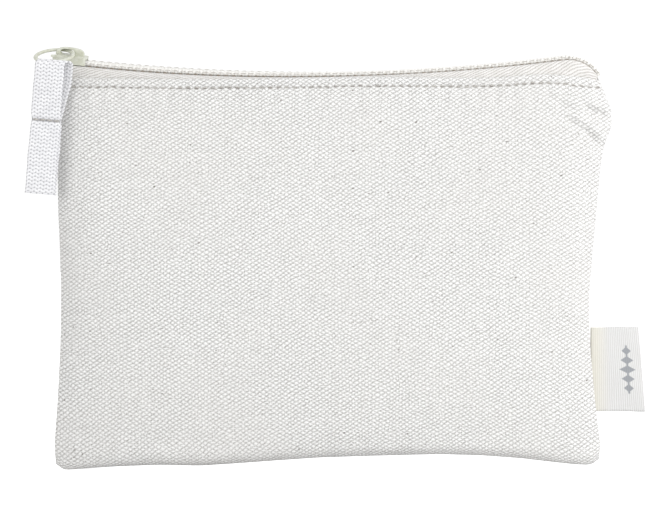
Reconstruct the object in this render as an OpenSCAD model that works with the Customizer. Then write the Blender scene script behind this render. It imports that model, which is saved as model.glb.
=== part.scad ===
// Zippered canvas pouch. Millimetres, +Z up, the front faces -Y and +X is to its right.
// The origin is the centre of the flat base that the pouch stands on.

/* [Body] */
// Width between the side seams at the base
body_w = 200; // [180:5:220]
// Height of the canvas from the base to the fold of the hem
canvas_h = 144; // [130:2:160]
// Depth of the body where it is fullest, front to back
body_d = 23; // [20:1:24]
// Depth of the flat base, front to back
base_d = 18; // [14:1:20]
// Depth across the two hems
mouth_d = 15; // [14.6:0.2:16]
// Thickness of the canvas
canvas_t = 0.8; // [0.6:0.1:0.9]
// How far the side seams are drawn in at half height
waist = 2.2; // [1.6:0.2:4]
// How far the folded zip end pushes the upper right corner out
corner_bulge = 5; // [0:0.5:6]
// Width of canvas that is turned inside at a seam
seam_allow = 9; // [7:1:12]
// Height of the turned hem
hem_h = 12; // [10:1:14]

/* [Zip] */
// Radius of the sagging line that the zip lies on
chain_r = 760; // [600:20:900]
// Height of that line's lowest point above the hem fold
chain_rise = 1; // [0.8:0.1:3]
// How far the zip leans towards the front, in degrees
chain_lean = 12; // [8:1:30]
// Width of one row of coils
coil_w = 2.9; // [2.7:0.1:3]
// Height of a row of coils
coil_h = 1.86; // [1.7:0.02:1.9]
// Thickness of the woven zip tape
tape_t = 0.5; // [0.4:0.05:0.6]
// Diameter of the sewing thread
thread_d = 0.45; // [0.3:0.05:0.5]
// Length from one stitch to the next
stitch_pitch = 3; // [2.5:0.25:4]

/* [Slider] */
// Where the slider's middle stands when the zip is closed
slider_x = -95.5; // [-96:0.5:-90]
// Length of the slider
slider_l = 12.6; // [12:0.2:13]
// Width across the slider's nose
slider_w = 10.8; // [10.6:0.1:11.2]
// Thickness of the slider's two plates
plate_t = 0.9; // [0.8:0.05:1]
// Clear height of the eye under the crown
eye_h = 2.2; // [1.8:0.1:2.3]

/* [Pull] */
// Radius of the ring, to the middle of its wire
ring_r = 7.6; // [7.2:0.1:8]
// Diameter of the ring's wire
wire_d = 1.2; // [1.2:0.1:1.5]
// Width of the pull tape
pull_w = 10.6; // [9:0.2:11]
// Length of the folded pull tape below the ring
pull_l = 48.5; // [40:0.5:50]
// Distance from the ring to the row of stitches across the pull tape
pull_stitch = 20.8; // [18:0.2:24]
// Thickness of the pull tape
pull_t = 0.6; // [0.5:0.05:0.7]

/* [Label] */
// Height of the side label
label_h = 31; // [20:1:40]
// How far the label stands out from the seam
label_w = 15.4; // [10:0.2:18]
// Height of the label's lower edge above the base
label_z = 21.5; // [15:0.5:60]

/* [Hidden] */

FRONT = -1;
BACK = 1;

canvas_color = [0.90, 0.89, 0.87];
tape_color = [0.89, 0.88, 0.85];
thread_color = [0.93, 0.92, 0.90];
metal_color = [0.86, 0.87, 0.80];

// Steps of the canvas panels across and up
panel_cols = 13;
panel_heights = [1.2, 4, 9, 16, 25, 36, 48, 61, 74, 87, 99, 110, 119, 126, 131, 133, 138];
bulge_z = canvas_h - 17;
bulge_spread = 9;
rim_t = 2 * canvas_t;
lining_in = 2;

// The zip line: an arc that turns down into the right corner
chain_x0 = -9;
chain_z0 = canvas_h + chain_rise;
corner_x = 84;
corner_r = 13;
corner_turn = 55;
slider_turn = asin((slider_x - chain_x0) / chain_r);
slider_s = chain_r * slider_turn * PI / 180;
corner_start_turn = asin((corner_x - chain_x0) / chain_r);
corner_s = chain_r * corner_start_turn * PI / 180;
corner_end_s = corner_s + corner_r * corner_turn * PI / 180;

// Rows of coils: side by side when closed, spread apart at the slider's nose
coil_gap = 0.05;
coil_y = coil_gap + coil_w / 2;
coil_spread = 1.25;
coil_mid = 0.04 + coil_h / 2;
coil_wall = 0.5;
coil_start = slider_s - 4.4;
tape_start = slider_s - 1;
tape_inner = 1.35;
tape_flat = 5.3;
hem_gap = 0.3;

// Heights inside the slider, from the top of the zip tape
top_plate_w = 2.4;
flange_w = 0.3;
bottom_plate_w = -tape_t - 0.3;
plate_top_w = top_plate_w + plate_t;
crown_top_w = plate_top_w + eye_h + 0.8;
crown_half = 5.2;
crown_y = 1;

// The ring passes through the eye and hangs over the nose of the top plate, so it leans to
// the front and rolls down to the left, about the middle of the eye
ring_x = -6;
ring_y = 2.2 - ring_r;
ring_w = plate_top_w + 1.35;
ring_lean = 11.5;
ring_roll = 7.8;
eye_x = ring_x + sqrt(ring_r * ring_r - ring_y * ring_y);
pull_x = ring_x - 0.2 - eye_x;
pull_y = ring_y - ring_r + 1.2;
pull_rise = pull_y * sin(ring_lean);
pull_pivot = [eye_x + pull_x * cos(ring_roll) - pull_rise * sin(ring_roll),
    pull_y * cos(ring_lean),
    ring_w + pull_x * sin(ring_roll) + pull_rise * cos(ring_roll)];
pull_hole_r = 2.4;
pull_hang = 4;

label_hinge_x = body_w / 2 - 0.7;
label_gap = 1;
label_t = 0.35;

function lerp(a, b, t) = a + (b - a) * t;
function ease(t) = let (c = min(1, max(0, t))) c * c * (3 - 2 * c);
function unit(v) = v / norm(v);

// ---- canvas ----

// Distance from the middle to the seam on one side, at a height
function half_w(side, z) = body_w / 2 - waist * sin(180 * z / canvas_h)
    + (side > 0 ? corner_bulge * exp(-pow((z - bulge_z) / bulge_spread, 2)) : 0);

// Half the depth of the body along its middle, at a height
function half_d(z) = let (h = z / canvas_h)
    lerp(base_d, mouth_d, h) / 2 + (body_d - (base_d + mouth_d) / 2) / 2 * sin(180 * pow(h, 0.8));

// How full the body is at s, from 1 in the middle to 0 at the seams
function fullness(s, z) = let (h = z / canvas_h)
    pow(max(0, 1 - pow(abs(s), lerp(3, 16, h))), lerp(0.7, 0.4, h));

// The rounded edge that the folded canvas makes along a seam, at distance d from it
function rim_y(d) = let (k = min(1, d / rim_t)) rim_t * sqrt(k * (2 - k));

function skin_y(s, z) = let (w = half_w(sign(s), z), d = w * (1 - abs(s)))
    rim_y(d) + (half_d(z) - rim_t) * fullness(s, z);

function lining_y(s, z) = let (t = z > canvas_h - hem_h ? 2 * canvas_t : canvas_t)
    (half_d(z) - t) * fullness(s, z);

function skin_at(s, z) = [s * half_w(sign(s), z), -skin_y(s, z), z];

// The inner face rises off the base by the canvas's thickness and joins the wall above it
function lining_at(s, z) = let (w = half_w(sign(s), z) - lining_in)
    [s * w, -lining_y(s, z), z + canvas_t * max(0, 1 - z / 12)];

// Rows 0 and 1 are the flat base, from the bottom seam out to the front. Their ends stop
// short of the side seam, so that no two of the rows meet in one point.
function base_row(points, depth, end_x, end_y) = let (last = len(points) - 1)
    [for (c = [0 : last]) let (p = points[c])
        c == 0 || c == last ? [p.x * end_x, end_y, p.z] : [p.x, p.y * depth, p.z]];

across = [for (i = [-panel_cols : panel_cols]) sin(90 * i / panel_cols)];
skin_base = [for (s = across) skin_at(s, 0)];
lining_base = [for (s = across) lining_at(s, 0)];
heights = concat([for (z = panel_heights) z * canvas_h / 144], canvas_h);
skin_grid = concat(
    [base_row(skin_base, 0, 0.995, 0), base_row(skin_base, 0.94, 0.9975, -0.25)],
    [for (z = heights) [for (s = across) skin_at(s, z)]]);
lining_grid = concat(
    [base_row(lining_base, 0, 0.995, 0), base_row(lining_base, 0.94, 0.9975, -0.25)],
    [for (z = heights) [for (s = across) lining_at(s, z)]]);

// A sheet between two grids of points. Columns crossed with rows point to the outer side,
// unless it is flipped.
module sheet(outer, inner, flip = false) {
    rows = len(outer);
    cols = len(outer[0]);
    o = function(r, c) r * cols + c;
    i = function(r, c) (rows + r) * cols + c;
    quads = concat(
        [for (r = [0 : rows - 2], c = [0 : cols - 2])
            [o(r, c), o(r + 1, c), o(r + 1, c + 1), o(r, c + 1)]],
        [for (r = [0 : rows - 2], c = [0 : cols - 2])
            [i(r, c), i(r, c + 1), i(r + 1, c + 1), i(r + 1, c)]],
        [for (c = [0 : cols - 2]) [o(0, c), o(0, c + 1), i(0, c + 1), i(0, c)]],
        [for (c = [0 : cols - 2])
            [o(rows - 1, c + 1), o(rows - 1, c), i(rows - 1, c), i(rows - 1, c + 1)]],
        [for (r = [0 : rows - 2]) [o(r + 1, 0), o(r, 0), i(r, 0), i(r + 1, 0)]],
        [for (r = [0 : rows - 2])
            [o(r, cols - 1), o(r + 1, cols - 1), i(r + 1, cols - 1), i(r, cols - 1)]]);
    faces = [for (q = quads, half = [[q[0], q[1], q[2]], [q[0], q[2], q[3]]])
        flip ? [half[2], half[1], half[0]] : half];
    polyhedron(points = concat([for (row = outer) each row], [for (row = inner) each row]),
        faces = faces);
}

// A strip along a side seam, seen from the front: from near to far away from the seam
module seam_band(side, near, far, foot, head) {
    steps = concat([for (z = [foot : 8 : head - 1]) z], head);
    polygon(concat(
        [for (z = steps) [side * (half_w(side, z) - near), z]],
        [for (k = [len(steps) - 1 : -1 : 0])
            [side * (half_w(side, steps[k]) - far), steps[k]]]));
}

// Extrudes a shape drawn in x and z from y_low to y_high
module upright(y_low, y_high) {
    translate([0, y_high, 0])
        rotate([90, 0, 0])
            linear_extrude(y_high - y_low)
                children();
}

// The canvas that is turned inside along a side seam
module side_allowance(side) {
    upright(-canvas_t, 0)
        seam_band(side, 1.2, seam_allow, 6, canvas_h - 8);
}

module panel_solid() {
    sheet(skin_grid, lining_grid);
    side_allowance(-1);
    side_allowance(1);
    translate([-body_w / 2 + seam_allow + 2, -canvas_t, canvas_t / 2])
        cube([body_w - 2 * seam_allow - 4, canvas_t, seam_allow]);
}

module front_panel() {
    color(canvas_color) panel_solid();
}

module back_panel() {
    color(canvas_color) mirror([0, 1, 0]) panel_solid();
}

// ---- stitches and overlocked edges ----

module topstitch(side) {
    z = canvas_h - 3.2;
    stitch_l = stitch_pitch * 0.76;
    for (x = [-92 : stitch_pitch : 94]) {
        s = x / half_w(sign(x), z);
        translate([x - stitch_l / 2, side * (skin_y(s, z) + 0.1) - thread_d / 2, z - thread_d / 2])
            cube([stitch_l, thread_d, thread_d]);
    }
}

module front_topstitch() {
    color(thread_color) topstitch(FRONT);
}

module back_topstitch() {
    color(thread_color) topstitch(BACK);
}

// A stitch passes through both layers of turned canvas
module seam_stitch() {
    half_y = canvas_t + 0.2;
    translate([-thread_d / 2, -half_y, 0])
        cube([thread_d, 2 * half_y, stitch_pitch * 0.76]);
}

module side_seam_stitch(side) {
    for (z = [14 : stitch_pitch : canvas_h - 14])
        translate([side * (half_w(side, z) - 3.4), 0, z])
            seam_stitch();
}

module left_seam_stitch() {
    color(thread_color) side_seam_stitch(-1);
}

module right_seam_stitch() {
    color(thread_color) side_seam_stitch(1);
}

module bottom_seam_stitch() {
    color(thread_color)
        for (x = [-84 : stitch_pitch : 84])
            translate([x, 0, 2.6])
                rotate([0, 90, 0])
                    seam_stitch();
}

// Overlock thread wraps the two raw edges together. It is a channel, open towards the seam.
overlock_w = 3.4;
overlock_t = 0.3;
overlock_gap = 0.05;
overlock_in = canvas_t + overlock_gap;
overlock_out = overlock_in + overlock_t;

module side_overlock(side) {
    far = seam_allow + overlock_gap + overlock_t;
    foot = 14;
    head = canvas_h - 16;
    for (y = [-overlock_out, overlock_in])
        upright(y, y + overlock_t)
            seam_band(side, seam_allow - overlock_w, far, foot, head);
    upright(-overlock_out, overlock_out)
        seam_band(side, seam_allow + overlock_gap, far, foot, head);
}

module left_overlock() {
    color(thread_color) side_overlock(-1);
}

module right_overlock() {
    color(thread_color) side_overlock(1);
}

module bottom_overlock() {
    top = canvas_t / 2 + seam_allow + overlock_gap;
    length = body_w - 32;
    color(thread_color)
        translate([-length / 2, 0, 0])
            difference() {
                translate([0, -overlock_out, top - overlock_w])
                    cube([length, 2 * overlock_out, overlock_w + overlock_t]);
                translate([-1, -overlock_in, top - overlock_w - 1])
                    cube([length + 2, 2 * overlock_in, overlock_w + 1]);
            }
}

// ---- zip ----

// Place and heading of the zip line: [x, z, heading in degrees], s along it from its low point
function chain_at(s) = let (
        a = min(s, corner_s) / chain_r * 180 / PI,
        x = chain_x0 + chain_r * sin(a),
        z = chain_z0 + chain_r * (1 - cos(a)),
        b = a - max(0, s - corner_s) / corner_r * 180 / PI)
    [x + corner_r * (sin(a) - sin(b)), z + corner_r * (cos(b) - cos(a)), b];

// A point beside the zip line: y across it and w above the tape, leaning with the zip
function on_chain(s, y, w) = let (
        p = chain_at(s),
        across_y = y * cos(chain_lean) - w * sin(chain_lean),
        up = y * sin(chain_lean) + w * cos(chain_lean))
    [p[0] - up * sin(p[2]), across_y, p[1] + up * cos(p[2])];

function chain_stops(start) = concat(
    [for (s = [start : 1.1 : slider_s + 2.4]) s],
    [for (k = [0 : 27]) lerp(slider_s + 4, corner_s, k / 27)],
    [for (k = [1 : 6]) lerp(corner_s, corner_end_s, k / 6)]);

function coil_at(s) = coil_y + coil_spread * ease((slider_s + 1.5 - s) / 6);

// Rings of points round an oval that follows the zip line
function oval_rings(side, start, shift, w, half_y, half_w, sides) = [
    for (s = chain_stops(start)) [
        for (j = [0 : sides - 1]) let (a = 360 * (j + 0.5) / sides)
            on_chain(s, side * (coil_at(s) + shift) + half_y * cos(a), w + half_w * sin(a))]];

function ring_faces(rings, sides, first, flip) = [
    for (k = [0 : rings - 2], j = [0 : sides - 1]) let (
            a = first + k * sides + j,
            b = first + k * sides + (j + 1) % sides,
            quad = [a, a + sides, b + sides, b])
        for (half = [[quad[0], quad[1], quad[2]], [quad[0], quad[2], quad[3]]])
            flip ? [half[2], half[1], half[0]] : half];

module rod(rings) {
    sides = len(rings[0]);
    last = (len(rings) - 1) * sides;
    polyhedron(
        points = [for (ring = rings) each ring],
        faces = concat(ring_faces(len(rings), sides, 0, false),
            [[for (j = [0 : sides - 1]) j]],
            [[for (j = [sides - 1 : -1 : 0]) last + j]]));
}

module hose(outer, inner) {
    sides = len(outer[0]);
    count = len(outer) * sides;
    last = count - sides;
    polyhedron(
        points = concat([for (ring = outer) each ring], [for (ring = inner) each ring]),
        faces = concat(ring_faces(len(outer), sides, 0, false),
            ring_faces(len(inner), sides, count, true),
            [for (j = [0 : sides - 1]) let (n = (j + 1) % sides)
                each [[j, n, count + n], [j, count + n, count + j]]],
            [for (j = [0 : sides - 1]) let (n = (j + 1) % sides, e = last, f = last + count)
                each [[e + n, e + j, f + j], [e + n, f + j, f + n]]]));
}

module coil(side) {
    hose(oval_rings(side, coil_start, 0, coil_mid, coil_w / 2, coil_h / 2, 8),
        oval_rings(side, coil_start, 0, coil_mid,
            coil_w / 2 - coil_wall, coil_h / 2 - coil_wall, 8));
}

module front_coil() {
    color(tape_color) coil(FRONT);
}

module back_coil() {
    color(tape_color) coil(BACK);
}

module filler_cord(side) {
    rod(oval_rings(side, coil_start, 0, coil_mid,
        coil_w / 2 - coil_wall - 0.2, coil_h / 2 - coil_wall - 0.1, 6));
}

module front_filler_cord() {
    color(thread_color) filler_cord(FRONT);
}

module back_filler_cord() {
    color(thread_color) filler_cord(BACK);
}

// The thread that sews a row of coils to its tape runs along the top of the coils
module coil_stitch(side) {
    rod(oval_rings(side, coil_start, 0.8, coil_h + 0.16, 0.18, 0.18, 6));
}

module front_coil_stitch() {
    color(thread_color) coil_stitch(FRONT);
}

module back_coil_stitch() {
    color(thread_color) coil_stitch(BACK);
}

// How far from the middle the tape may stand inside the hem, at a distance along it
function tape_reach(x) = let (s = x / (half_w(sign(x), canvas_h) - lining_in))
    max(1, (mouth_d / 2 - rim_t) * fullness(s, canvas_h) - tape_t / 2 - hem_gap);

// Keeps a point of the tape inside the hem, if it is low enough to be in it
function in_hem(side, p) = p.z > canvas_h + 1.5 ? p
    : [p.x, side * min(side * p.y, tape_reach(p.x)), p.z];

// Where the tape's lower edge hangs
function tape_foot(side, x) = [x, side * tape_reach(x), canvas_h - hem_h + 2];

function bezier(a, b, c, d, t) =
    pow(1 - t, 3) * a + 3 * t * pow(1 - t, 2) * b + 3 * t * t * (1 - t) * c + pow(t, 3) * d;

// Middle of the tape: flat under the coils and through the slider, then down inside the hem
tape_bends = 7;
function tape_line(side, s) = let (
        edge = on_chain(s, side * tape_flat, -tape_t / 2),
        out = edge - on_chain(s, side * (tape_flat - 1.6), -tape_t / 2),
        foot = tape_foot(side, min(94, chain_at(s)[0])))
    concat([on_chain(s, side * tape_inner, -tape_t / 2)],
        [for (k = [0 : tape_bends])
            in_hem(side, bezier(edge, edge + out, foot + [0, 0, 7], foot, k / tape_bends))]);

// Direction from the tape's middle to its outer face
function tape_out(side, s) = let (
        up = unit(on_chain(s, 0, 1) - on_chain(s, 0, 0)))
    concat([up], [for (k = [0 : tape_bends])
        unit(lerp(up, [0, side, 0], ease(1.6 * k / tape_bends)))]);

module tape(side) {
    stops = chain_stops(tape_start);
    lines = [for (s = stops) tape_line(side, s)];
    outs = [for (s = stops) tape_out(side, s)];
    faces_at = function(offset) [
        for (k = [0 : len(stops) - 1]) [
            for (j = [0 : tape_bends + 1]) lines[k][j] + offset * outs[k][j]]];
    sheet(faces_at(tape_t / 2), faces_at(-tape_t / 2), flip = side == BACK);
}

module front_tape() {
    color(tape_color) tape(FRONT);
}

module back_tape() {
    color(tape_color) tape(BACK);
}

// ---- slider ----

// Places its children at the slider: x along the zip, y across it, z above the tape
module at_slider() {
    p = chain_at(slider_s);
    translate([p[0], 0, p[1]])
        rotate([0, -p[2], 0])
            rotate([chain_lean, 0, 0])
                children();
}

// Outline of a slider plate, wide at the nose and narrow at the back
module slider_plan(nose, back) {
    e = slider_l / 2;
    half = [[-e, nose - 1.8], [-e + 1, nose - 0.4], [-e + 2.2, nose], [-2, nose], [3, back],
        [e - 0.9, back], [e, back - 0.9]];
    polygon(concat(half, [for (k = [len(half) - 1 : -1 : 0]) [half[k].x, -half[k].y]]));
}

// The Y-shaped channel that the two rows of coils run in
module slider_channel() {
    nose = slider_w / 2 - 0.9;
    back = 3.35;
    far = slider_l;
    half = [[-far, nose], [-2, nose], [3, back], [far, back]];
    polygon(concat(half, [for (k = [len(half) - 1 : -1 : 0]) [half[k].x, -half[k].y]]));
}

module slider_body() {
    nose = slider_w / 2;
    color(metal_color) at_slider() {
        translate([0, 0, bottom_plate_w - plate_t - 0.3])
            linear_extrude(plate_t + 0.3)
                slider_plan(4.1, 3.8);
        translate([0, 0, top_plate_w])
            linear_extrude(plate_t)
                slider_plan(nose, 4.3);
        translate([0, 0, flange_w])
            linear_extrude(top_plate_w - flange_w)
                difference() {
                    slider_plan(nose, 4.3);
                    slider_channel();
                }
        // The diamond that parts the coils and carries the lower plate
        translate([0, 0, bottom_plate_w])
            linear_extrude(top_plate_w - bottom_plate_w)
                polygon([[-6, 0.5], [-6, -0.5], [-4.2, -1], [-1.6, 0], [-4.2, 1]]);
        // Two lugs that the crown is clipped over
        for (end = [-1, 1])
            translate([end * (crown_half - 1.55) - 0.5, -0.55, plate_top_w])
                cube([1, 1.1, 0.7]);
    }
}

module slider_crown() {
    outer_r = 1.4;
    color(metal_color) at_slider()
        rotate([90, 0, 0])
            linear_extrude(2 * crown_y, center = true)
                difference() {
                    union() {
                        translate([-crown_half, plate_top_w])
                            square([2 * crown_half, crown_top_w - plate_top_w - outer_r]);
                        translate([-crown_half + outer_r, plate_top_w])
                            square([2 * (crown_half - outer_r), crown_top_w - plate_top_w]);
                        for (end = [-1, 1])
                            translate([end * (crown_half - outer_r), crown_top_w - outer_r])
                                circle(r = outer_r, $fn = 32);
                    }
                    translate([-crown_half + 0.9, plate_top_w - 1])
                        square([2 * (crown_half - 0.9), eye_h + 1]);
                }
}

module pull_ring() {
    color(metal_color) at_slider()
        translate([eye_x, 0, ring_w])
            rotate([0, -ring_roll, 0])
                rotate([ring_lean, 0, 0])
                    translate([ring_x - eye_x, ring_y, 0])
                        rotate_extrude($fn = 64)
                            translate([ring_r, 0])
                                circle(d = wire_d, $fn = 24);
}

// Places its children on the ring: z hangs down, leaning a little to the left
module at_pull() {
    p = chain_at(slider_s);
    up = pull_pivot.y * sin(chain_lean) + pull_pivot.z * cos(chain_lean);
    along = pull_pivot.x;
    translate([p[0] + along * cos(p[2]) - up * sin(p[2]),
            pull_pivot.y * cos(chain_lean) - pull_pivot.z * sin(chain_lean),
            p[1] + along * sin(p[2]) + up * cos(p[2])])
        rotate([0, pull_hang, 0])
            children();
}

// Half of a loop of tape, seen from its edge: a half circle over the ring
function pull_arc(r) = [for (a = [0 : 7.5 : 180]) [r * cos(a), r * sin(a)]];

// One tape folded over the ring and sewn to itself, seen from its edge
module pull_profile() {
    difference() {
        polygon(concat(pull_arc(pull_hole_r + pull_t),
            [[-pull_t, -pull_stitch], [-pull_t, -pull_l], [pull_t, -pull_l],
                [pull_t, -pull_stitch]]));
        polygon(concat(pull_arc(pull_hole_r), [[0, 1 - pull_stitch]]));
    }
}

module pull_tape() {
    color(canvas_color) at_pull()
        rotate([90, 0, 90])
            linear_extrude(pull_w, center = true)
                pull_profile();
}

module pull_tape_stitch() {
    stitches = 4;
    pitch = (pull_w - 1) / stitches;
    color(thread_color) at_pull()
        for (k = [0 : stitches - 1])
            translate([(k - stitches / 2 + 0.12) * pitch, -pull_t - 0.2, -pull_stitch])
                cube([pitch * 0.76, 2 * pull_t + 0.4, thread_d]);
}

// ---- label ----

// A ribbon folded in half, with its two ends in the right side seam
module side_label() {
    edge = label_t + 0.1;
    color(canvas_color)
        translate([label_hinge_x + label_gap, 0, label_z])
            linear_extrude(label_h)
                difference() {
                    union() {
                        translate([0, -edge])
                            square([label_w - edge, 2 * edge]);
                        translate([label_w - edge, 0])
                            circle(r = edge, $fn = 24);
                    }
                    translate([-1, -0.1])
                        square([label_w - edge + 1, 0.2]);
                }
}

front_panel();
back_panel();
front_tape();
back_tape();
front_coil();
back_coil();
front_filler_cord();
back_filler_cord();
front_coil_stitch();
back_coil_stitch();
front_topstitch();
back_topstitch();
left_seam_stitch();
right_seam_stitch();
bottom_seam_stitch();
left_overlock();
right_overlock();
bottom_overlock();
slider_body();
slider_crown();
pull_ring();
pull_tape();
pull_tape_stitch();
side_label();
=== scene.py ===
import bpy
import numpy as np
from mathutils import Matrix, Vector


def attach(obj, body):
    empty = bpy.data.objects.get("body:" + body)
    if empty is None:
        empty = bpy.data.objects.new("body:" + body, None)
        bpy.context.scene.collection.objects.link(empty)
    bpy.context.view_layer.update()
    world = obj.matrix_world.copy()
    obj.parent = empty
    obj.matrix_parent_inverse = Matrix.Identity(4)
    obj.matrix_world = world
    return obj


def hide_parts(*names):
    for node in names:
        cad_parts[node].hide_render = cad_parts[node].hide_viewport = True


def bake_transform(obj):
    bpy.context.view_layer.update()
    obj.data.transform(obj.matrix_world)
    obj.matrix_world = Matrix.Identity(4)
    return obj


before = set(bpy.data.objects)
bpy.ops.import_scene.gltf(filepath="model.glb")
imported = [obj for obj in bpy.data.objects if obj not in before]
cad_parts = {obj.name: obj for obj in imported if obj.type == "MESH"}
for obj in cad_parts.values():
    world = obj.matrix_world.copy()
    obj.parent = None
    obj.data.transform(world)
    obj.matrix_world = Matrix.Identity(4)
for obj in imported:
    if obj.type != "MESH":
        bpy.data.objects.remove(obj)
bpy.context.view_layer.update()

# ---- Camera ----
# A long lens, level with the middle of the pouch and square to its front.
camera = bpy.data.objects.new("camera", bpy.data.cameras.new("camera"))
bpy.context.scene.collection.objects.link(camera)
camera.location = (0.0027, -0.6886, 0.0783)
camera.rotation_euler = (np.pi / 2, 0, 0)
camera.data.sensor_width = 36
camera.data.lens = 100
bpy.context.scene.camera = camera

# ---- Canvas body ----
# Two panels of undyed plain-weave cotton canvas, sewn to each other along both sides and
# the bottom, right sides together, and turned. The top edge of each is folded in as a hem.
MM = 0.001
FRONT = -1
BACK = 1
CANVAS_H = 144
CANVAS_T = 0.8
STITCH_ROW = 140.8
STITCH_PITCH = 3
HEM_FOOT = 132
FOLD_R = 0.85
BASE_R = 5
CANVAS_MIDDLE = 105
CANVAS_WALL = slice(20, 158)


def ease(t):
    """Rises smoothly from 0 to 1 as t does."""
    c = np.clip(t, 0, 1)
    return c * c * (3 - 2 * c)


def bump_at(distance, spread):
    """A soft bump, 1 at no distance, a third at one spread."""
    return np.exp(-((distance / spread) ** 2))


def soft_line(x, stops, values, blur):
    """Straight lines from stop to stop, with their corners averaged over the blur."""
    shifts = np.linspace(-1.5, 1.5, 13)
    weights = bump_at(shifts, 1)
    total = sum(w * np.interp(x + blur * k, stops, values) for k, w in zip(shifts, weights))
    return total / weights.sum()


def hollow(x):
    """Height of the lower edge above the ground, highest right of the middle."""
    stops = [-99, -97, -88, -77, -62, -47, -33, -18, -3, 12, 27, 41, 56, 71, 80, 86, 92, 101]
    heights = [0, 0, 0.7, 1.4, 2.0, 1.7, 2.6, 3.7, 4.7, 5.2, 5.6, 5.9, 5.5, 4.4, 3.3, 2.6, 1.9, 1.7]
    return soft_line(x, stops, heights, 2.5)


def side_edge(side, z):
    """Distance of a side seam from the middle: drawn in at half height, out at the foot,
    and on the right pushed out near the top by the folded end of the zip."""
    left = soft_line(z, [0, 8, 25, 45, 65, 85, 97, 120, 144],
                     [100.9, 101.6, 100.3, 99.2, 98.8, 99.3, 99.9, 100.1, 99.4], 5)
    right = soft_line(z, [0, 8, 25, 45, 61, 79, 99, 112, 119, 124, 128, 131, 136.5, 141, 144],
                      [100.8, 101.4, 99.2, 97.4, 96.8, 98, 99.8, 101, 102.2, 104.2, 105.4,
                       104.9, 103, 101.2, 99.6], 2.2)
    return np.where(side > 0, right, left)


def body_depth(z):
    """Half the depth of the body along its middle: straight from base to mouth, plus a
    swelling that is a sine of the height, and a quarter circle at the foot."""
    h = np.clip(z / CANVAS_H, 0, 1)
    depth = (18 + (15 - 18) * h) / 2 + 3.25 * np.sin(np.pi * h ** 0.8)
    k = np.clip(z / BASE_R, 0, 1)
    return depth - BASE_R * (1 - np.sqrt(k * (2 - k)))


def fullness(s, z):
    """How full the body is, from 1 in the middle to 0 at the seams: one less a power of s
    that is low at the foot and high at the mouth."""
    h = np.clip(z / CANVAS_H, 0, 1)
    return np.clip(1 - np.abs(s) ** (3 + 13 * h), 0, 1) ** (0.7 - 0.3 * h)


def canvas_relief(x, z, edge_gap, phase):
    """How far the cloth stands out: broad waves, puckers that fade away from the side
    seams and the foot, and a hem that is drawn in along its row of stitches."""
    inside = ease(edge_gap / 18) * ease(z / 12)
    broad = 0.55 * np.sin(x / 29 + 1.3 + phase) * np.sin(z / 24 + 0.4)
    broad = broad + 0.35 * np.sin(x / 15 - z / 19 + 2 + phase)
    ripple = np.sin(z / 1.9 + 2.2 * np.sin(z / 13 + phase) + 0.05 * x)
    ripple = ripple * (0.6 + 0.4 * np.sin(z / 8.3 + x / 60 + 2 * phase))
    sides = 0.34 * ripple * np.exp(-edge_gap / 7) * ease(edge_gap / 2.5)
    foot_wave = np.sin(x / 2.7 + 1.8 * np.sin(x / 21 + phase)) * (0.6 + 0.4 * np.sin(x / 11))
    foot = 0.3 * foot_wave * np.exp(-z / 8) * ease(z / 3)
    between = 0.6 + 0.4 * np.cos(2 * np.pi * x / STITCH_PITCH)
    sewn = -0.62 * between * bump_at(z - STITCH_ROW, 0.7)
    sewn = sewn + 0.3 * bump_at(z - 142.7, 1.1) + 0.26 * bump_at(z - 138.7, 1.3)
    drawn = 0.2 * np.sin(2 * np.pi * x / 6.3 + phase) * bump_at(z - 137, 3.2)
    step = 0.22 * ease((z - HEM_FOOT + 0.8) / 1.6)
    return broad * inside + sides + foot + sewn + drawn + step


def crease(x, z, start, end, depth, width):
    """A fold in the cloth along a line from start to end, which fades at both ends."""
    ax, az = start
    dx, dz = end[0] - ax, end[1] - az
    length = np.hypot(dx, dz)
    t = ((x - ax) * dx + (z - az) * dz) / length ** 2
    away = ((z - az) * dx - (x - ax) * dz) / length
    fade = ease(t * 3 + 0.6) * ease((1 - t) * 3 + 0.6)
    return -depth * fade * (bump_at(away, width) - 0.55 * bump_at(away - 2 * width, 1.6 * width))


def hem_rise(x, phase):
    """How far the hem runs above a level line: a slow wave, and a rise at the corner where
    the zip turns down."""
    return 0.35 * np.sin(x / 23 + 0.5 + phase), 1.7 * bump_at(x - 80, 15)


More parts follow.
